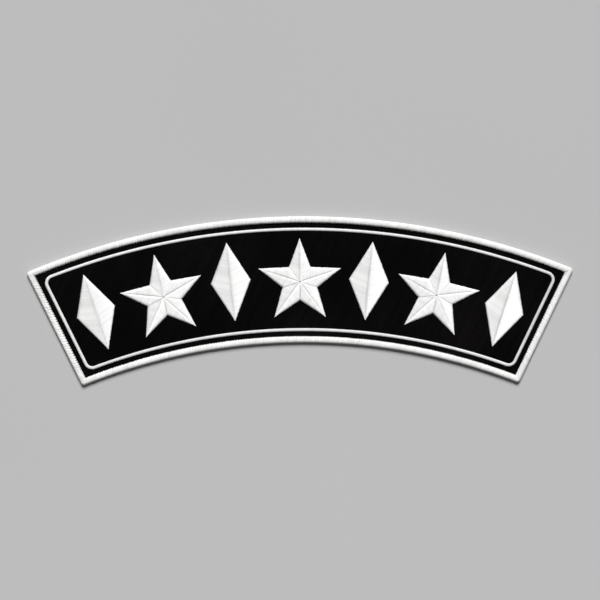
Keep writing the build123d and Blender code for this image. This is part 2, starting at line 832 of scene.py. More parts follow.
def ply_group() -> NodeTree:
    """Make the twist of a thread's plies, from its UV map, with streaks of filaments on them.

    Returns:
        The group, which every thread shares.
    """
    name = "thread_plies"
    if name in bpy.data.node_groups:
        return bpy.data.node_groups[name]
    # How fast a streak changes along the thread, how much streaks stand out in height and in tone,
    # and how dark the painted shade in the furrows between the plies is
    drawn_out, streak_height, streak_tone, ply_tone = 0.12, 0.9, 0.8, 0.5
    inputs = {"UV": "Vector", "Plies": "Float", "Lay": "Float", "Filaments": "Float"}
    graph, given, result = new_group(name, inputs)
    given = given.outputs
    split = graph.fill(graph.node("ShaderNodeSeparateXYZ"), {"Vector": given["UV"]}).outputs
    turns = graph.math("DIVIDE", split["Y"], given["Lay"])
    around = graph.math("ADD", split["X"], turns)
    phase = graph.math("MULTIPLY", graph.math("MULTIPLY", around, given["Plies"]), math.pi)
    ply = graph.math("ABSOLUTE", graph.math("SINE", phase))
    fibres = graph.vector(around, graph.math("MULTIPLY", turns, drawn_out))
    streak = graph.math("SUBTRACT", graph.noise(fibres, given["Filaments"]), 0.5)
    # Painted shade: the tone is lighter on each ply's crest and darker in the furrows between the
    # plies
    lit = graph.math("MULTIPLY_ADD", ply, ply_tone, 1 - ply_tone)
    height = graph.math("MULTIPLY_ADD", streak, streak_height, ply)
    tone = graph.math("MULTIPLY_ADD", streak, streak_tone, lit)
    graph.fill(result, {"Height": height, "Tone": tone})
    return graph.tree


@dataclass(frozen=True)
class Twill:
    """How the ground cloth is woven.

    Attributes:
        slant: The ribs' angle from the X axis.
        pitch: From one rib to the next.
        relief: How far a rib stands above the furrow beside it.
        repeat: How many yarns there are from one rib to the next.
        float_over: How many weft yarns a warp yarn floats over.
    """

    slant: float = math.radians(63)
    pitch: float = 0.85 * MM
    relief: float = 0.10 * MM
    repeat: int = 3
    float_over: int = 2

    @property
    def warp_pitch(self) -> float:
        """From one warp yarn to the next."""
        return self.pitch / math.sin(self.slant) / self.repeat

    @property
    def weft_pitch(self) -> float:
        """From one weft yarn to the next."""
        return self.warp_pitch * math.tan(self.slant)

    @property
    def along(self) -> Array:
        """The direction along the ribs."""
        return np.array([math.cos(self.slant), math.sin(self.slant)])

    @property
    def across(self) -> Array:
        """The direction across the ribs."""
        return np.array([math.sin(self.slant), -math.cos(self.slant)])

    def group(self) -> NodeTree:
        """Make the weave, in which each warp yarn floats one weft yarn on from the last.

        Returns:
            A group whose inputs count the warp yarns and the weft yarns from the origin.
        """
        # How softly a float falls off to its ends and sides, and how high the weft is beside it
        warp_end, warp_side, weft_height = 0.45, 0.5, 0.2
        graph, given, result = new_group("twill_weave", {"Warp": "Float", "Weft": "Float"})
        given = given.outputs
        yarn = graph.math("FLOOR", given["Warp"])
        beside = graph.math("SUBTRACT", given["Weft"], yarn)
        repeats = graph.math("DIVIDE", beside, self.repeat)
        share = graph.math("MULTIPLY", graph.math("FRACT", repeats), self.repeat / self.float_over)
        run = graph.math("MULTIPLY", graph.math("MINIMUM", share, 1.0), math.pi)
        across = graph.math("MULTIPLY", graph.math("FRACT", given["Warp"]), math.pi)
        beyond = graph.math("MULTIPLY", graph.math("FRACT", given["Weft"]), math.pi)
        ends = graph.math("POWER", graph.math("SINE", run), warp_end)
        sides = graph.math("POWER", graph.math("SINE", across), warp_side)
        weft = graph.math("MULTIPLY", graph.math("SINE", beyond), weft_height)
        height = graph.math("MAXIMUM", graph.math("MULTIPLY", ends, sides), weft)
        random = graph.node("ShaderNodeTexWhiteNoise", noise_dimensions="2D")
        graph.feed(random.inputs["Vector"], graph.vector(yarn, graph.math("FLOOR", repeats)))
        graph.fill(result, {"Height": height, "Tone": random.outputs["Value"]})
        return graph.tree


def new_material(name: str) -> tuple[Material, Graph, Node]:
    """Start a material.

    Args:
        name: The material's name.

    Returns:
        The material, its graph and its main shader.
    """
    material = bpy.data.materials.new(name)
    material.use_nodes = True
    return material, Graph(material.node_tree), material.node_tree.nodes["Principled BSDF"]


@dataclass(frozen=True)
class TwillFinish:
    """Matt black twill.

    Attributes:
        weave: How it is woven.
        furrow: Its colour down between the yarns, darkened there as painted shade.
        rib: Its colour on top of the yarns.
        contrast: How much darker the painted shade makes the yarns' sides than their tops.
        yarn_tone: How much lighter one float is than another.
        streaks: How many light and dark streaks there are in a metre across the ribs.
        streak_stretch: How fast a streak changes along the ribs, as a share of across them.
        patches: How many soft patches of painted sheen there are in a metre.
        patch_contrast: How much the patches differ.
        patch_base: What is added to them.
        lint: How many fibres there are across a yarn.
        lint_stretch: How fast a fibre changes along the yarn, as a share of across it.
        lint_height: How far the fibres stand out, as a share of the yarns.
        lint_roughness: How much duller the fibres are.
        roughness: How dull the cloth is between them.
        relief: How far the yarns stand out.
        strength: How much of that relief is felt.
        specular: How much it shines.
    """

    weave: Twill
    furrow: Colour = (0.0003, 0.0003, 0.0003, 1)
    rib: Colour = (0.0094, 0.0078, 0.0080, 1)
    contrast: float = 1.5
    yarn_tone: float = 0.25
    streaks: float = 420
    streak_stretch: float = 0.06
    patches: float = 16
    patch_contrast: float = 3.0
    patch_base: float = -0.5
    lint: float = 5
    lint_stretch: float = 0.25
    lint_height: float = 0.3
    lint_roughness: float = 0.2
    roughness: float = 0.68
    relief: float = 0.07 * MM
    strength: float = 0.9
    specular: float = 0.03

    def material(self) -> Material:
        """Make the material.

        Returns:
            The material.
        """
        material, graph, shader = new_material("black_twill")
        place = graph.node("ShaderNodeTexCoord").outputs["Object"]
        warp = graph.dot(place, (1 / self.weave.warp_pitch, 0, 0))
        weft = graph.dot(place, (0, 1 / self.weave.weft_pitch, 0))
        weave = graph.node("ShaderNodeGroup", node_tree=self.weave.group())
        graph.fill(weave, {"Warp": warp, "Weft": graph.math("ADD", weft, 0.5)})
        across = graph.dot(place, (*self.weave.across, 0))
        along = graph.dot(place, (*self.weave.along, 0))
        drawn_out = graph.vector(across, graph.math("MULTIPLY", along, self.streak_stretch))
        bands = graph.noise(drawn_out, self.streaks, detail=3)
        toned = graph.math("MULTIPLY_ADD", weave.outputs["Tone"], self.yarn_tone, bands)
        # Painted shade: the colour follows the weave's height, darkest down in the furrows between
        # the yarns and lightest on the floats' tops, times each float's random tone
        weave_shade_and_tone = graph.math("MULTIPLY", weave.outputs["Height"], toned)
        # Painted sheen: soft patches make the black cloth lighter and darker across the patch
        patches = graph.noise(place, self.patches, detail=1)
        painted_sheen = graph.math("MULTIPLY_ADD", patches, self.patch_contrast, self.patch_base)
        share = graph.math("MULTIPLY", graph.math("POWER", weave_shade_and_tone, self.contrast), painted_sheen)
        fibres = graph.vector(warp, graph.math("MULTIPLY", weft, self.lint_stretch))
        lint = graph.noise(fibres, self.lint, detail=3)
        height = graph.math("MULTIPLY_ADD", lint, self.lint_height, weave.outputs["Height"])
        dress = {
            "Base Color": graph.mix(share, self.furrow, self.rib),
            "Normal": graph.bump(height, self.relief, self.strength),
            "Roughness": graph.math("MULTIPLY_ADD", lint, self.lint_roughness, self.roughness),
            "Specular IOR Level": self.specular,
        }
        graph.fill(shader, dress)
        return material


@dataclass(frozen=True)
class ThreadFinish:
    """White thread or yarn, each length of it a little lighter or darker than the next.

    Attributes:
        name: The material's name.
        dark: Its colour at a brightness of 0.
        light: Its colour at a brightness of 1.
        roughness: How dull it is.
        plies: How many plies are twisted together.
        lay: The millimetres in which a ply turns once.
        filaments: How many streaks of filaments run round it.
        relief: How deep the furrows between the plies are.
        sheen: How much its loose fibres catch the light.
        sheen_roughness: How widely they spread it.
        specular: How much it shines.
        strength: How much of the plies' relief is felt.
        polish: How much less dull the top of a ply is.
        ply_tone: How much the plies' tone counts in its colour: painted shade in the furrows
            between the plies, with the filaments' random streaks.
        ply_base: What is taken off for them.
    """

    # The UV map and the attribute that it reads
    UV_MAP = "UVMap"
    SHADE = "shade"
    # How dark the cores deep inside a piece are: painted shade, seen in the gaps between the
    # threads
    CORE_PAINTED_SHADE = 0.12

    name: str
    dark: Colour
    light: Colour
    roughness: float
    plies: int
    lay: float
    filaments: float
    relief: float
    sheen: float
    sheen_roughness: float = 0.4
    specular: float = 0.45
    strength: float = 0.7
    polish: float = 0.08
    ply_tone: float = 0.42
    ply_base: float = 0.22

    def material(self) -> Material:
        """Make the material.

        Returns:
            The material.
        """
        material, graph, shader = new_material(self.name)
        shade = graph.node("ShaderNodeAttribute", attribute_name=self.SHADE).outputs["Fac"]
        twist = {
            "UV": graph.node("ShaderNodeUVMap", uv_map=self.UV_MAP).outputs["UV"],
            "Plies": float(self.plies),
            "Lay": self.lay,
            "Filaments": self.filaments,
        }
        group = graph.node("ShaderNodeGroup", node_tree=ply_group())
        plies = graph.fill(group, twist).outputs
        # Brightness: each thread's own random tone, or the cores' painted shade, with the plies'
        # painted shade in their furrows
        own = graph.math("SUBTRACT", shade, self.ply_base)
        tone = graph.math("MULTIPLY_ADD", plies["Tone"], self.ply_tone, own)
        dress = {
            "Base Color": graph.mix(tone, self.dark, self.light),
            "Normal": graph.bump(plies["Height"], self.relief, self.strength),
            "Roughness": graph.math("MULTIPLY_ADD", plies["Height"], -self.polish, self.roughness),
            "Specular IOR Level": self.specular,
            "Sheen Weight": self.sheen,
            "Sheen Roughness": self.sheen_roughness,
        }
        graph.fill(shader, dress)
        return material


BORDER_YARN = ThreadFinish(
    name="white_border_yarn",
    dark=(0.69, 0.69, 0.68, 1),
    light=(0.92, 0.92, 0.91, 1),
    roughness=0.6,
    plies=3,
    lay=3.4,
    filaments=11.0,
    relief=0.07 * MM,
    sheen=0.2,
)
SATIN_THREAD = ThreadFinish(
    name="white_satin_thread",
    dark=(0.73, 0.73, 0.725, 1),
    light=(0.94, 0.94, 0.935, 1),
    roughness=0.4,
    plies=2,
    lay=2.6,
    filaments=9.0,
    relief=0.035 * MM,
    sheen=0.1,
)
LINE_THREAD = replace(
    SATIN_THREAD,
    name="white_line_thread",
    dark=(0.60, 0.60, 0.595, 1),
    light=(0.77, 0.77, 0.765, 1),
)


# The pieces of the patch


@dataclass
class OverlockedBorder:
    """The thick yarn edge, wound over and over the cloth's cut edge.

    Attributes:
        rocker: The patch's outline.
        height: How high it stands.
        width: From the finished edge to the needle holes.
        pitch: From one needle hole to the next. Two legs of yarn leave each hole.
        yarn_depth: How thick the yarn is.
        slant: How far a leg drifts along the edge on its way over, in pitches.
        fork: How far a leg stands from the middle of its hole, in pitches.
        parting: How much further it stands from it over the edge, in pitches.
        stray: How far a leg strays along the edge, in pitches.
        scatter: How far a needle hole strays from its line.
        sag: How far a leg sags.
        bulk: How much the yarn's width and thickness change, as a share of them.
        core_corners: How many corners the core's section has.
        core_step: About how far apart the core's sections are.
        shade_spread: How much one leg's brightness differs from another's.
        shade_patch: About how many legs a drift in brightness runs over.
        seed: What its random numbers start from.
        name: The piece's name.
    """

    # The middle of a leg as shares of the border's width and height, from its hole over the
    # top and round under the edge, with the yarn's width as a share of its room along the edge
    COURSE = np.array(
        [
            # inset, height, width
            (0.99, 0.40, 0.82),
            (0.95, 0.66, 0.94),
            (0.86, 0.83, 1.05),
            (0.68, 0.89, 1.12),
            (0.43, 0.89, 1.15),
            (0.235, 0.855, 1.16),
            (0.13, 0.735, 1.16),
            (0.082, 0.54, 1.15),
            (0.085, 0.30, 1.12),
            (0.17, 0.15, 1.10),
            (0.48, 0.135, 1.05),
            (0.94, 0.135, 0.95),
        ]
    )
    # The core's middle and half its size, as shares of the border's width and height
    CORE_MIDDLE = (0.51, 0.5)
    CORE_HALF = (0.40, 0.36)

    rocker: Rocker
    height: float
    width: float = 3.3 * MM
    pitch: float = 1.44 * MM
    yarn_depth: float = 0.5 * MM
    slant: float = 0.6
    fork: float = 0.17
    parting: float = 0.08
    stray: float = 0.025
    scatter: float = 0.05 * MM
    sag: float = 0.015 * MM
    bulk: float = 0.03
    core_corners: int = 10
    core_step: float = 1.5 * MM
    shade_spread: float = 0.16
    shade_patch: int = 9
    seed: int = 11
    name: str = "border_yarn"

    def build(self, finish: Material) -> Object:
        """Wind the yarn over its core.

        Args:
            finish: Its material.

        Returns:
            The piece.
        """
        rng = np.random.default_rng(self.seed)
        holes = round(self.rocker.length / self.pitch)
        pitch = self.rocker.length / holes
        legs = 2 * holes
        strays, bulks, scatters, sags = rng.normal(size=(4, legs, 1))
        inset, height, width = (column[None, :] for column in self.COURSE.T)
        # How far over each ring of a leg is: 0 at its hole, 1 at the edge, up to 2 underneath
        over = np.clip((inset[:, :1] - inset) / (inset[:, :1] - inset.min()), 0, 1)
        under = np.arange(inset.shape[1])[None, :] > np.argmin(inset)
        over = np.where(under, 2 - over, over)
        free = np.minimum(over, 1)
        hole = np.repeat(np.arange(holes), 2)[:, None]
        hand = np.tile([-1, 1], holes)[:, None]
        spread = self.fork + self.parting * np.sqrt(free)
        along = (hole + 0.5 + hand * spread + self.slant * (over - 0.5)) * pitch
        along = along + self.stray * pitch * strays * free
        deep = inset * self.width + self.scatter * scatters * (1 - free)
        high = height * self.height - self.sag * np.abs(sags)
        bulk = 1 + self.bulk * bulks
        lines = np.stack(np.broadcast_arrays(along, deep, high), axis=-1)
        bundle = Thread(sides=7, segments=inset.shape[1] - 1).copies(self.name, legs)
        bundle.lay(lines, (1.0, 0, 0), width * bulk * pitch / 2, self.yarn_depth * bulk)
        bundle.shade(rng, self.shade_spread, self.shade_patch)
        bundle.wind(self.rocker)
        size = np.array([self.width, self.height])
        section = oval(self.CORE_MIDDLE * size, self.CORE_HALF * size, self.core_corners)
        piece = bundle.cover(ring_core("border_core", self.rocker, section, self.core_step))
        settle(piece, finish, "overlocked_border")
        return piece


@dataclass
class StitchedLine:
    """The narrow line of satin stitches inside the border.

    Attributes:
        rocker: The patch's outline.
        face: The height of the cloth's face.
        top: The height of the line's top.
        inset: From the finished edge to the middle of the line.
        corner: Its radius at the corners.
        width: How wide it is.
        pitch: From one stitch to the next.
        thread_depth: How thick the thread is.
        slant: How far a stitch drifts along the line on its way across, in pitches.
        anchor: How far down into the cloth a stitch's ends go.
        flatness: How flat a stitch's arch is on top, where 2 is round.
        end_width: How wide a stitch is at its ends, in pitches.
        swell: How much wider it is in its middle, in pitches.
        stray: How far a stitch strays along the line.
        sag: How far a stitch sags.
        bulk: How much a stitch's length and width change, as a share of them.
        core_corners: How many corners the core's section has.
        core_share: Half the core's width, as a share of the line's.
        core_half: Half the core's height.
        core_drop: How far the core's middle lies under the line's.
        core_step: About how far apart the core's sections are.
        shade_spread: How much one stitch's brightness differs from another's.
        shade_patch: About how many stitches a drift in brightness runs over.
        seed: What its random numbers start from.
        name: The piece's name.
    """

    rocker: Rocker
    face: float
    top: float
    inset: float = 6.9 * MM
    corner: float = 3.75 * MM
    width: float = 1.5 * MM
    pitch: float = 0.42 * MM
    thread_depth: float = 0.26 * MM
    slant: float = 0.7
    anchor: float = 0.12 * MM
    flatness: int = 4
    end_width: float = 0.7
    swell: float = 0.53
    stray: float = 0.012 * MM
    sag: float = 0.02 * MM
    bulk: float = 0.03
    core_corners: int = 8
    core_share: float = 0.40
    core_half: float = 0.22 * MM
    core_drop: float = 0.2 * MM
    core_step: float = 1 * MM
    shade_spread: float = 0.15
    shade_patch: int = 7
    seed: int = 23
    name: str = "line_stitches"

    def build(self, finish: Material) -> Object:
        """Lay the stitches across the line, over their core.

        Args:
            finish: Their material.

        Returns:
            The piece.
        """
        rng = np.random.default_rng(self.seed)
        track = self.rocker.track(self.inset, self.corner)
        count = round(track.length / self.pitch)
        pitch = track.length / count
        strays, reaches, sags, bulks = rng.normal(size=(4, count, 1))
        thread = Thread(sides=5, segments=6)
        share = thread.shares
        arch = np.sqrt(1 - (2 * share - 1) ** self.flatness)
        along = (np.arange(count)[:, None] + self.slant * (share - 0.5)) * pitch
        along = along + self.stray * strays
        across = (share - 0.5) * (self.width * (1 + self.bulk * reaches))
        sunk = self.face - self.anchor
        crest = self.top - self.thread_depth / 2 - self.sag * np.abs(sags)
        lines = np.stack([along, across, sunk + (crest - sunk) * arch], axis=-1)
        widths = pitch * (self.end_width + self.swell * arch) * (1 + self.bulk * bulks)
        bundle = thread.copies(self.name, count)
        bundle.lay(lines, (1.0, 0, 0), widths, self.thread_depth)
        bundle.shade(rng, self.shade_spread, self.shade_patch)
        bundle.wind(track)
        middle = (0, (self.face + self.top) / 2 - self.core_drop)
        half = (self.core_share * self.width, self.core_half)
        section = oval(middle, half, self.core_corners)
        piece = bundle.cover(ring_core("line_core", track, section, self.core_step))
        settle(piece, finish, "stitched_line")
        return piece


@dataclass(frozen=True)
class Field:
    """A three-cornered field of satin stitches, all laid the same way.

    Attributes:
        corners: Its corners, as 3 rows of X and Y.
        outer: Whether each of its edges, from one corner to the next, is on the outline.
        heading: The direction of the stitches.
    """

    corners: Array
    outer: tuple[bool, bool, bool]
    heading: Array

    def stitches(self, pitch: float) -> tuple[Array, Array, Array, Array]:
        """Cross the field with evenly spaced stitches.

        Args:
            pitch: From one stitch to the next.

        Returns:
            Where each stitch starts and ends, and whether each of those is on the outline.
        """
        step = np.array([-self.heading[1], self.heading[0]])
        levels = self.corners @ step
        count = max(round((levels.max() - levels.min()) / pitch), 1)
        wanted = levels.min() + (np.arange(count) + 0.5) / count * (levels.max() - levels.min())
        spots, hits = [], []
        for edge in range(3):
            low, high = levels[edge], levels[(edge + 1) % 3]
            share = (wanted - low) / (high - low if high != low else 1)
            hits.append((share > 0) & (share < 1) & (high != low))
            leg = self.corners[(edge + 1) % 3] - self.corners[edge]
            spots.append(self.corners[edge] + share[:, None] * leg)
        hits, spots = np.array(hits), np.array(spots)
        first, last = np.argmax(hits, axis=0), 2 - np.argmax(hits[::-1], axis=0)
        each = np.arange(count)
        start, end = spots[first, each], spots[last, each]
        flip = ((end - start) @ self.heading < 0)[:, None]
        outer = np.array(self.outer)
        start_outer = np.where(flip[:, 0], outer[last], outer[first])
        end_outer = np.where(flip[:, 0], outer[first], outer[last])
        return np.where(flip, end, start), np.where(flip, start, end), start_outer, end_outer


class Figure(Enum):
    """The figures in the row of motifs."""

    STAR = "star"
    LOZENGE = "lozenge"


@dataclass(frozen=True)
class Motif:
    """The outline of one raised figure, and the fields that its stitches fill.

    Attributes:
        figure: Which figure it is.
        height: From its foot to its top.
        lozenge_width: How wide a lozenge is.
        waist: The radius between two arms of a star, as a share of the radius at their tips.
        arms: How many arms a star has.
        lean: How far the stitches lean from square to a star's arm or a lozenge's middle.
    """

    figure: Figure
    height: float
    lozenge_width: float = 21 * MM
    waist: float = 0.42
    arms: int = 5
    lean: float = math.radians(18)

    @property
    def tip_radius(self) -> float:
        """A star's radius at its tips."""
        return self.height / (1 + math.cos(math.pi / self.arms))

    @property
    def hub(self) -> Array:
        """The middle of the figure, from which its splits run."""
        star = self.figure is Figure.STAR
        return np.array([0, self.height / 2 - self.tip_radius]) if star else np.zeros(2)

    @property
    def corners(self) -> Array:
        """Work out the figure's outline.

        Returns:
            Its corners, clockwise from its top.
        """
        if self.figure is Figure.LOZENGE:
            high, side = self.height / 2, self.lozenge_width / 2
            return np.array([(0, high), (side, 0), (0, -high), (-side, 0)])
        spokes = np.arange(2 * self.arms)
        angles = spokes * math.pi / self.arms
        reach = np.where(spokes % 2 == 0, 1, self.waist) * self.tip_radius
        return self.hub + reach[:, None] * np.stack([np.sin(angles), np.cos(angles)], axis=-1)

    def fields(self) -> list[Field]:
        """Divide the figure into the fields that its stitches fill.

        Returns:
            The fields, one on each side of every split.
        """
        corners = self.corners
        if self.figure is Figure.LOZENGE:
            top, right, foot, left = corners
            out = turned(np.array([1.0, 0]), self.lean)
            halves = ((right, out), (left, out * (-1, 1)))
            return [
                Field(np.array([top, side, foot]), (True, True, False), heading)
                for side, heading in halves
            ]
        fields = []
        for number, corner in enumerate(corners):
            after = corners[(number + 1) % len(corners)]
            tip, dip, hand = (corner, after, -1) if number % 2 == 0 else (after, corner, 1)
            arm = unit(tip - self.hub)
            heading = turned(arm, hand * (math.pi / 2 - self.lean))
            fields.append(Field(np.array([self.hub, tip, dip]), (False, True, False), heading))
        return fields


@dataclass
class MotifRow:
    """The row of raised satin-stitched figures: lozenges and stars in turn.

    Attributes:
        rocker: The patch's outline.
        face: The height of the cloth's face.
        top: The height of the figures' tops.
        stars: How many stars there are. There is one more lozenge.
        row_top: From the outer arc to a figure's top.
        row_foot: From the inner arc to a figure's foot.
        row_end: From an end to the side of the last lozenge.
        pitch: From one stitch to the next.
        thread_depth: How thick a thread is.
        split_depth: How far the stitches dip where two fields meet.
        shoulder: How far from its ends a stitch reaches its full height.
        shortest: The length under which a stitch from one split to another is left out.
        anchor: How far down into the cloth a stitch's ends go.
        low_outer: How much lower the shortest stitches to the outline run, as a share.
        low_inner: How much lower the shortest stitches between splits run, as a share.
        low_length: The length in which that fades.
        end_width: How wide a stitch is at its ends, in pitches.
        swell: How much wider it is in its middle, in pitches.
        slack: How much longer or shorter a stitch is.
        bow: How far a stitch bows out sideways.
        sag: How far a stitch sags.
        bulk: How much a stitch's width changes, as a share of it.
        pad_share: The pad's size, as a share of the figure's.
        pad_gap: How far the pad's top lies under the threads, and its foot in the cloth.
        pad_bevel: How much of the pad's height its edge's bevel takes.
        pit: How much of the pad's height the needle's pit in its middle takes.
        shade_spread: How much one stitch's brightness differs from another's.
        shade_patch: About how many stitches a drift in brightness runs over.
    """

    # What each figure's random numbers start from
    SEEDS = {Figure.STAR: 31, Figure.LOZENGE: 37}

    rocker: Rocker
    face: float
    top: float
    stars: int = 3
    row_top: float = 11.85 * MM
    row_foot: float = 13.65 * MM
    row_end: float = 13.4 * MM
    pitch: float = 0.43 * MM
    thread_depth: float = 0.28 * MM
    split_depth: float = 0.32 * MM
    shoulder: float = 1.1 * MM
    shortest: float = 0.36 * MM
    anchor: float = 0.15 * MM
    low_outer: float = 0.5
    low_inner: float = 0.3
    low_length: float = 1.3 * MM
    end_width: float = 0.90
    swell: float = 0.30
    slack: float = 0.10 * MM
    bow: float = 0.025 * MM
    sag: float = 0.018 * MM
    bulk: float = 0.04
    pad_share: float = 0.965
    pad_gap: float = 0.2 * MM
    pad_bevel: float = 0.6
    pit: float = 0.8
    shade_spread: float = 0.14
    shade_patch: int = 6

    @property
    def band(self) -> float:
        """From the outer arc to the inner arc."""
        return self.rocker.outer_radius - self.rocker.inner_radius

    def motif(self, figure: Figure) -> Motif:
        """The figure, at the size that the row gives it."""
        return Motif(figure, self.band - self.row_top - self.row_foot)

    @property
    def radius(self) -> float:
        """The radius of the row's middle line."""
        return self.rocker.outer_radius - self.row_top - self.motif(Figure.STAR).height / 2

    @property
    def step(self) -> float:
        """Work out the row's spacing.

        Returns:
            The angle from one figure to the next.
        """
        width = self.motif(Figure.LOZENGE).lozenge_width
        last = self.rocker.crossing(self.radius, self.row_end + width / 2)
        return math.atan2(*last) / self.stars

    def places(self) -> list[tuple[str, Figure, int]]:
        """Share the row out, with the stars first.

        Returns:
            The node, figure and place of each motif, in steps from the middle of the row.
        """
        stars = [(f"star_{n + 1}", Figure.STAR, 2 * n + 1 - self.stars) for n in range(self.stars)]
        rest = range(self.stars + 1)
        return stars + [(f"lozenge_{n + 1}", Figure.LOZENGE, 2 * n - self.stars) for n in rest]

    def outlines(self) -> list[Array]:
        """Work out where every figure's outline lies on the patch.

        Returns:
            The corners of each.
        """
        made = []
        for _, figure, place in self.places():
            turn = place * self.step
            middle = self.radius * np.array([math.sin(turn), math.cos(turn)])
            corners = turned(self.motif(figure).corners, -turn) + middle
            made.append(corners + (0, self.rocker.centre_y))
        return made

    def pad(self, motif: Motif) -> Object:
        """Model the white padding under a figure's stitches, at the origin.

        Args:
            motif: The figure.

        Returns:
            The pad.
        """
        corners = motif.hub + (motif.corners - motif.hub) * self.pad_share
        lift = self.top - self.face - self.thread_depth - self.pad_gap
        near_foot, near_top = self.face + 0.1 * lift, self.face + 0.99 * lift
        deselect()
        bpy.ops.mesh.primitive_circle_add(vertices=len(corners), fill_type="NGON")
        piece = named(f"{motif.figure.value}_pad")
        around = read_points(piece)
        order = np.argsort(np.argsort(np.arctan2(around[:, 0], around[:, 1]) % FULL_TURN))
        write_points(piece, np.column_stack([corners[order], np.full(len(corners), self.face)]))
        with editing(piece, "FACE"):
            bpy.ops.mesh.select_all(action="SELECT")
            bpy.ops.mesh.extrude_region_move(TRANSFORM_OT_translate={"value": (0, 0, lift)})
            bpy.ops.mesh.select_mode(type="EDGE")
            bpy.ops.mesh.bevel(offset=lift * self.pad_bevel, segments=2)
        with editing(piece, "FACE") as shape:
            choose(piece, shape.faces, lambda f: f.calc_center_median().z > near_top)
            bpy.ops.mesh.poke()
        with editing(piece) as shape:
            choose(piece, shape.verts, lambda v: (v.co.xy - Vector(motif.hub)).length < self.pitch)
            bpy.ops.transform.translate(value=(0, 0, -self.pit * lift))
        with editing(piece) as shape:
            choose(piece, shape.verts, lambda v: v.co.z < near_foot)
            bpy.ops.transform.translate(value=(0, 0, -self.pad_gap))
        return piece

    def heights(self, runs: Array, length: Array, start_outer: Array, end_outer: Array) -> Array:
        """Work out how high the middle of each stitch runs at each of its rings.

        Args:
            runs: How far along the stitch each ring is.
            length: The stitches' lengths.
            start_outer: Whether each stitch starts on the outline, and not at a split.
            end_outer: Whether each stitch ends on the outline.

        Returns:
            The heights.
        """
        full = self.top - self.thread_depth / 2
        low_by = np.where((start_outer | end_outer)[:, None], self.low_outer, self.low_inner)
        crown = 1 - low_by * np.exp(-length / self.low_length)
        crest = self.face + (full - self.face) * crown
        sunk = self.face - self.anchor
        split = np.minimum(full - self.split_depth, crest)
        heights = crest + 0 * runs
        for outer, gone in ((start_outer, runs), (end_outer, length - runs)):
            low = np.where(outer[:, None], sunk, split)
            share = np.clip(gone / np.minimum(self.shoulder, length / 2), 0, 1)
            heights = np.minimum(heights, low + (crest - low) * np.sqrt(1 - (1 - share) ** 2))
        return heights

    def model(self, figure: Figure) -> Object:
        """Stitch a figure once, at the origin, over its pad.

        Args:
            figure: The figure.

        Returns:
            The model, for its pieces to be copied from.
        """
        rng = np.random.default_rng(self.SEEDS[figure])
        motif = self.motif(figure)
        sets = [field.stitches(self.pitch) for field in motif.fields()]
        start, end, start_outer, end_outer = (np.concatenate(column) for column in zip(*sets))
        length = np.linalg.norm(end - start, axis=1)
        kept = start_outer | end_outer | (length > self.shortest)
        stitches = (start, end, start_outer, end_outer, length[:, None])
        start, end, start_outer, end_outer, length = (column[kept] for column in stitches)
        count = len(start)
        heading = (end - start) / length
        sideways = np.stack([-heading[:, 1], heading[:, 0], np.zeros(count)], axis=-1)
        # The fifth row is drawn and not used, which keeps the draws after it as they are
        slacks, bows, sags, bulks, _ = rng.normal(size=(5, count, 1))
        thread = Thread(sides=5, segments=8)
        share = thread.shares
        belly = np.sin(math.pi * share)
        run = length * share + self.slack * slacks * (share - 0.5)
        flat = start[:, None] + run[..., None] * heading[:, None]
        flat = flat + (self.bow * bows * belly)[..., None] * sideways[:, None, :2]
        heights = self.heights(length * share, length, start_outer, end_outer)
        heights = heights - self.sag * np.abs(sags) * belly
        widths = self.pitch * (self.end_width + self.swell * belly**0.5) * (1 + self.bulk * bulks)
        bundle = thread.copies(f"{figure.value}_model", count)
        bundle.lay(np.dstack([flat, heights]), sideways, widths, self.thread_depth)
        bundle.shade(rng, self.shade_spread, self.shade_patch)
        return bundle.cover(self.pad(motif))

    def build(self, finish: Material) -> list[Object]:
        """Copy each figure to its places along the row.

        Args:
            finish: The thread's material.

        Returns:
            The pieces.
        """
        made = []
        models = {figure: self.model(figure) for figure in Figure}
        for node, figure, place in self.places():
            turn = place * self.step
            take(models[figure])
            bpy.ops.object.duplicate(linked=False)
            piece = bpy.context.object
            piece.rotation_euler = (0, 0, -turn)
            x, y = self.radius * math.sin(turn), self.radius * math.cos(turn)
            piece.location = (x, y + self.rocker.centre_y, 0)
            made.append(named(f"{node}_stitches"))
            settle(piece, finish, node)
        for model in models.values():
            bpy.data.objects.remove(model)
        return made


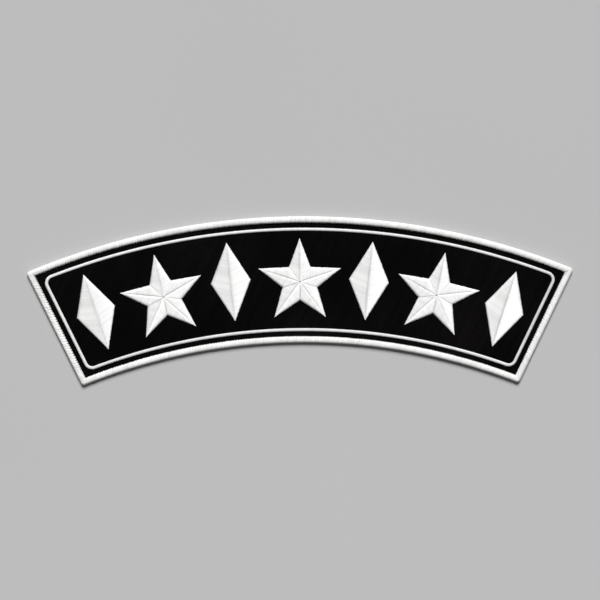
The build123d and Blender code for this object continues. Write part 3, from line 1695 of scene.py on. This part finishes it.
@dataclass
class GroundCloth:
    """The curved band of black twill that everything is stitched to.

    Attributes:
        rocker: The patch's outline.
        face: The height of its face.
        weave: How it is woven.
        cut: How far inside the finished edge it is cut.
        cut_corner: Its radius at the corners where it is cut.
        shown: How far inside the finished edge it is modelled, hidden in the border.
        shown_corner: Its radius at the corners there.
        rows: How many rows of faces each rib has.
        crowding: How much closer together the rows are near the edges.
        columns: How many columns of faces span one rib.
        pucker: How deep the stitches pull it in.
        pucker_reach: How far from the stitches it is still pulled in.
        swell: How far the broad swells of its face rise and fall.
        weld: How near two vertices are to become one where the rolled sheet closes.
        name: The piece's name.
    """

    # The face's swells: the millimetres that they take for a radian on X and on Y, and how
    # far they rise, as a share of the broad ones
    BROAD = (17, 13, 1.0)
    NARROW = (7.1, 9.3, 0.6)
    # How far along, in radians, the broad ones are on X in the middle of the patch
    BROAD_START = 1.3

    rocker: Rocker
    face: float
    weave: Twill
    cut: float = 0.85 * MM
    cut_corner: float = 0.5 * MM
    shown: float = 2.7 * MM
    shown_corner: float = 0.3 * MM
    rows: int = 52
    crowding: float = 0.6
    columns: int = 4
    pucker: float = 0.13 * MM
    pucker_reach: float = 1.1 * MM
    swell: float = 0.02 * MM
    weld: float = 0.001 * MM
    name: str = "ground_twill"

    def ribs(self) -> Array:
        """Work out where each rib's vertices lie on the face.

        Returns:
            Their places, as columns by rows by 2.
        """
        edge = self.rocker.track(self.shown, self.shown_corner).points
        across, along = edge @ self.weave.across, edge @ self.weave.along
        low, high = np.argmin(across), np.argmax(across)
        count = len(edge) - 1
        first = (low + np.arange((high - low) % count + 1)) % count
        second = (low - np.arange((low - high) % count + 1)) % count
        margin = self.weave.pitch / 2
        number = round(np.ptp(across) / self.weave.pitch * self.columns)
        wanted = np.linspace(across.min() + margin, across.max() - margin, number)
        start, end = (
            np.interp(wanted, np.maximum.accumulate(across[chain]), along[chain])[:, None]
            for chain in (second, first)
        )
        even = np.linspace(0, 1, self.rows + 1)[None, :]
        share = even - self.crowding * np.sin(even * FULL_TURN) / FULL_TURN
        run = start * (1 - share) + end * share
        return wanted[:, None, None] * self.weave.across + run[..., None] * self.weave.along

    def relief(self, points: Array, outlines: list[Array]) -> Array:
        """Work out how high the face stands, against the height of a rib's top.

        Args:
            points: Places on the face, in rows of X and Y.
            outlines: The corners of every figure stitched to it.

        Returns:
            The height at each.
        """
        ribs = np.cos(points @ self.weave.across / self.weave.pitch * FULL_TURN)
        x, y = points.T / MM
        broad = np.sin(x / self.BROAD[0] + self.BROAD_START) * np.sin(y / self.BROAD[1])
        swell = broad + self.NARROW[2] * np.sin(x / self.NARROW[0] + y / self.NARROW[1])
        inset = self.rocker.inset_of(points)
        near_line = np.abs(inset - StitchedLine.inset) - StitchedLine.width / 2
        nearest = np.minimum(np.abs(near_line), inset - OverlockedBorder.width)
        for corners in outlines:
            leg = np.roll(corners, -1, axis=0) - corners
            gap = points[:, None] - corners
            share = np.clip((gap * leg).sum(axis=2) / (leg**2).sum(axis=1), 0, 1)
            apart = np.linalg.norm(gap - share[..., None] * leg, axis=2).min(axis=1)
            nearest = np.minimum(nearest, apart)
        pulled = np.exp(-((np.maximum(nearest, 0) / self.pucker_reach) ** 2))
        most = self.BROAD[2] + self.NARROW[2]
        woven = self.weave.relief * (ribs - 1) / 2
        return woven + self.swell * (swell - most) - self.pucker * pulled

    def build(self, finish: Material, outlines: list[Array]) -> Object:
        """Weave the face, and roll the sheet round to close it with a flat back.

        Args:
            finish: Its material.
            outlines: The corners of every figure stitched to it.

        Returns:
            The piece.
        """
        spots = self.ribs()
        heights = self.face + self.relief(spots.reshape(-1, 2), outlines)
        front = np.dstack([spots, heights.reshape(spots.shape[:2])])
        back = front[:, [-1, 0]] * (1, 1, 0)
        rolled = np.concatenate([front, back, front[:, :1]], axis=1)
        columns, rows = rolled.shape[:2]
        deselect()
        bpy.ops.mesh.primitive_grid_add(x_subdivisions=rows - 1, y_subdivisions=columns - 1, size=1)
        piece = named(self.name)
        write_points(piece, rolled.reshape(-1, 3))
        with editing(piece):
            bpy.ops.mesh.select_all(action="SELECT")
            bpy.ops.mesh.remove_doubles(threshold=self.weld)
            bpy.ops.mesh.fill_holes(sides=0)
        face_outwards(piece, CLOTH_CREASE)
        settle(piece, finish, "ground_cloth")
        cut = self.rocker.track(self.cut, self.cut_corner).points
        return piece


# The studio


@dataclass(frozen=True)
class Studio:
    """A plain pale floor, soft light from beyond the outer arc, and a camera straight above.

    Attributes:
        floor_size: How wide the floor is.
        floor_drop: How far the floor lies below the patch's back.
        floor_tones: The floor's darkest and lightest grey.
        floor_patches: How many soft patches of them there are in a metre.
        eye_height: How high the camera is.
        field_width: How wide the camera's view is at the patch.
        roll: How far the patch is turned in the view, anticlockwise.
        key_elevation: How high the main light stands above the horizon.
        key_side: How far it stands to the right of square beyond the outer arc.
        key_softness: How wide the main light looks from the patch.
        key_share: How much light the main light throws on level ground.
        sky_share: How much light comes evenly from all round.
    """

    floor_size: float = 30
    floor_drop: float = 0.05 * MM
    floor_tones: tuple[float, float] = (0.455, 0.475)
    floor_patches: float = 4
    eye_height: float = 1.5
    field_width: float = 0.318
    roll: float = math.radians(0.4)
    key_elevation: float = math.radians(44)
    key_side: float = math.radians(4)
    key_softness: float = math.radians(30)
    key_share: float = 0.99
    sky_share: float = 0.10

    def camera(self) -> None:
        """Hang the camera straight above the middle of the patch."""
        deselect()
        bpy.ops.object.camera_add(location=(0, 0, self.eye_height), rotation=(0, 0, -self.roll))
        camera = bpy.context.object
        camera.name = "camera"
        camera.data.lens = camera.data.sensor_width * self.eye_height / self.field_width
        bpy.context.scene.camera = camera

    def floor(self) -> None:
        """Lay the floor."""
        deselect()
        bpy.ops.mesh.primitive_plane_add(size=self.floor_size, location=(0, 0, -self.floor_drop))
        floor = named("floor")
        material, graph, shader = new_material("pale_floor")
        place = graph.node("ShaderNodeTexCoord").outputs["Object"]
        dark, light = ((tone, tone, tone, 1) for tone in self.floor_tones)
        tone = graph.mix(graph.noise(place, self.floor_patches), dark, light)
        graph.fill(shader, {"Base Color": tone, "Roughness": 1, "Specular IOR Level": 0})
        floor.data.materials.append(material)

    def key_light(self) -> None:
        """Hang the main light far beyond the outer arc."""
        deselect()
        tilt = self.key_elevation - math.pi / 2
        bpy.ops.object.light_add(type="SUN", rotation=(tilt, 0, -self.key_side))
        light = bpy.context.object
        light.name = "key_light"
        light.data.angle = self.key_softness
        light.data.energy = self.key_share * math.pi / math.sin(self.key_elevation)

    def sky(self) -> None:
        """Light the scene evenly from all round, and show the floor's own tone behind it."""
        world = bpy.data.worlds.new("studio")
        world.use_nodes = True
        graph = Graph(world.node_tree)
        seen = graph.node("ShaderNodeBackground")
        cast = world.node_tree.nodes["Background"]
        tone = sum(self.floor_tones) / 2 * (self.key_share + self.sky_share)
        graph.fill(seen, {"Color": (tone, tone, tone, 1)})
        graph.fill(cast, {"Color": (1, 1, 1, 1), "Strength": self.sky_share})
        either = graph.node("ShaderNodeMixShader")
        to_camera = graph.node("ShaderNodeLightPath").outputs["Is Camera Ray"]
        for socket, value in zip(either.inputs, (to_camera, cast.outputs[0], seen.outputs[0])):
            graph.feed(socket, value)
        graph.fill(world.node_tree.nodes["World Output"], {"Surface": either.outputs[0]})
        bpy.context.scene.world = world

    def build(self) -> None:
        """Set the studio up."""
        self.camera()
        self.floor()
        self.key_light()
        self.sky()
        bpy.context.scene.view_settings.view_transform = "Standard"


def main() -> None:
    """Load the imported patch, dress it and set the studio up round it."""
    logging.basicConfig(level=logging.INFO, format="%(name)s: %(message)s")
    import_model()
    Studio().build()

    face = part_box("ground_cloth")[1].z
    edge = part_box("overlocked_border")[1]
    rocker = Rocker(centre_y=edge.y - Rocker.outer_radius)
    weave = Twill()
    satin = SATIN_THREAD.material()
    row = MotifRow(rocker, face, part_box("star_1")[1].z)
    GroundCloth(rocker, face, weave).build(TwillFinish(weave).material(), row.outlines())
    OverlockedBorder(rocker, edge.z).build(BORDER_YARN.material())
    StitchedLine(rocker, face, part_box("stitched_line")[1].z).build(LINE_THREAD.material())
    row.build(satin)


if __name__ == "__main__":
    main()
